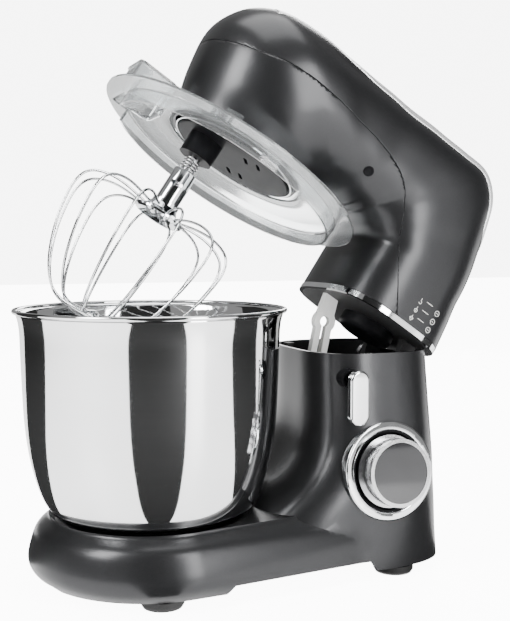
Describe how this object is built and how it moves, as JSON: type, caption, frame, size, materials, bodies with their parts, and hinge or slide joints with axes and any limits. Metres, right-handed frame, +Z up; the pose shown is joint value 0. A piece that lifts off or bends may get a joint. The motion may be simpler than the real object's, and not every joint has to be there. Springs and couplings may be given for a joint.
{
  "type": "stand mixer",
  "caption": "Tilt-head stand mixer in its open pose, with a planetary wire whisk, a steel bowl, a splash guard and a side speed knob.",
  "frame": {"origin": "on the bench under the bowl, on the bowl's axis", "axes": "+Z up, -Y towards the nose of the head, +Y towards the column, +X towards the side with the speed knob and the release lever"},
  "size_m": [0.236, 0.4174, 0.46],
  "materials": {
    "body_paint": "satin metallic grey coat",
    "trim_chrome": "polished",
    "trim_silver": "fine brushed",
    "bowl_steel": "polished stainless",
    "clear_plastic": "clear moulded plastic",
    "dark_plastic": "gloss",
    "matt_dark": "fine texture",
    "white_plastic": "smooth nylon",
    "foot_rubber": "moulded",
    "steel": "machined",
    "aluminium": "cast",
    "copper_winding": "enamelled wire",
    "board_green": "solder mask",
    "belt_rubber": "ribbed",
    "gear_nylon": "moulded nylon",
    "knob_metal": "satin turned"
  },
  "bodies": {
    "base": {"base_housing": "body_paint", "bottom_cover": "matt_dark", "rubber_feet": "foot_rubber", "bowl_socket": "matt_dark", "column_deck": "matt_dark", "hinge_bracket": "steel", "hinge_pin": "steel", "latch_guide": "matt_dark", "deck_buffer": "foot_rubber", "wire_clip": "white_plastic", "lever_bush": "dark_plastic", "knob_bezel": "trim_chrome", "knob_well": "dark_plastic", "speed_switch": "matt_dark", "control_board": "board_green", "cord_inlet": "foot_rubber"},
    "bowl": {"bowl": "bowl_steel", "bowl_foot": "steel"},
    "head": {"head_upper_cover": "body_paint", "head_lower_housing": "body_paint", "head_top_trim": "trim_silver", "side_caps": "matt_dark", "neck_trim": "trim_chrome", "neck_floor": "matt_dark", "motor_cap": "dark_plastic", "lock_hook": "white_plastic", "nose_ring": "trim_chrome", "gearbox_plate": "aluminium", "gearbox_bridge": "aluminium", "ring_gear": "steel", "motor_stator": "steel", "motor_coils": "copper_winding", "motor_bracket": "aluminium", "motor_brushes": "matt_dark", "drive_belt": "belt_rubber", "splash_guard": "clear_plastic", "guard_clips": "clear_plastic"},
    "flap": {"guard_flap": "clear_plastic"},
    "carrier": {"planet_hub": "dark_plastic", "planet_shaft": "steel", "planet_gear": "gear_nylon"},
    "counter": {"counter_shaft": "steel", "counter_pinion": "steel", "counter_pulley": "gear_nylon"},
    "rotor": {"motor_shaft": "steel", "motor_rotor": "steel", "motor_commutator": "copper_winding", "motor_fan": "matt_dark", "motor_pulley": "steel"},
    "beater": {"beater_shaft": "steel", "planet_pinion": "steel", "shaft_spring": "steel", "whisk_hub": "trim_chrome", "whisk_plate": "trim_chrome", "whisk_wires": "trim_chrome"},
    "knob": {"knob_body": "knob_metal", "knob_ring": "knob_metal", "knob_glass": "dark_plastic"},
    "lever": {"release_lever": "trim_chrome"},
    "bolt": {"latch_bolt": "steel"}
  },
  "joints": [
    {"name": "head_tilt", "type": "hinge", "parent": "base", "child": "head", "pos_m": [0, 0.219, 0.1685], "axis": [-1, 0, 0], "range_deg": [-34, 0]},
    {"name": "planet_turn", "type": "hinge", "parent": "head", "child": "carrier", "pos_m": [0, 0.09084, 0.37014], "axis": [0, 0.5592, 0.829], "continuous": true},
    {"name": "beater_spin", "type": "hinge", "parent": "carrier", "child": "beater", "pos_m": [0, 0.03226, 0.33246], "axis": [0, 0.5592, 0.829], "continuous": true},
    {"name": "counter_spin", "type": "hinge", "parent": "head", "child": "counter", "pos_m": [0, 0.15782, 0.34426], "axis": [0, 0.5592, 0.829], "continuous": true},
    {"name": "rotor_spin", "type": "hinge", "parent": "head", "child": "rotor", "pos_m": [0, 0.22582, 0.25014], "axis": [0, 0.5592, 0.829], "continuous": true},
    {"name": "chute_flap_lift", "type": "hinge", "parent": "head", "child": "flap", "pos_m": [-0.03, 0.02798, 0.39854], "axis": [-1, 0, 0], "range_deg": [0, 70]},
    {"name": "speed_knob_turn", "type": "hinge", "parent": "base", "child": "knob", "pos_m": [0.0764, 0.177, 0.0866], "axis": [0.9942, 0, 0.108], "range_deg": [0, 150]},
    {"name": "release_lever_swing", "type": "hinge", "parent": "base", "child": "lever", "pos_m": [0.07, 0.1465, 0.1625], "axis": [-1, 0, 0], "range_deg": [0, 30]},
    {"name": "latch_slide", "type": "slide", "parent": "base", "child": "bolt", "axis": [-1, 0, 0], "range_m": [0, 0.0145]},
    {"name": "bowl_lift", "type": "slide", "parent": "base", "child": "bowl", "axis": [0, 0, 1], "range_m": [0, 0.007]}
  ],
  "couplings": [
    {"joint": "beater_spin", "follows": "planet_turn", "ratio": -3.75},
    {"joint": "counter_spin", "follows": "planet_turn", "ratio": -4},
    {"joint": "rotor_spin", "follows": "planet_turn", "ratio": -15.273},
    {"joint": "latch_slide", "follows": "release_lever_swing", "m_per_rad": 0.026735}
  ]
}
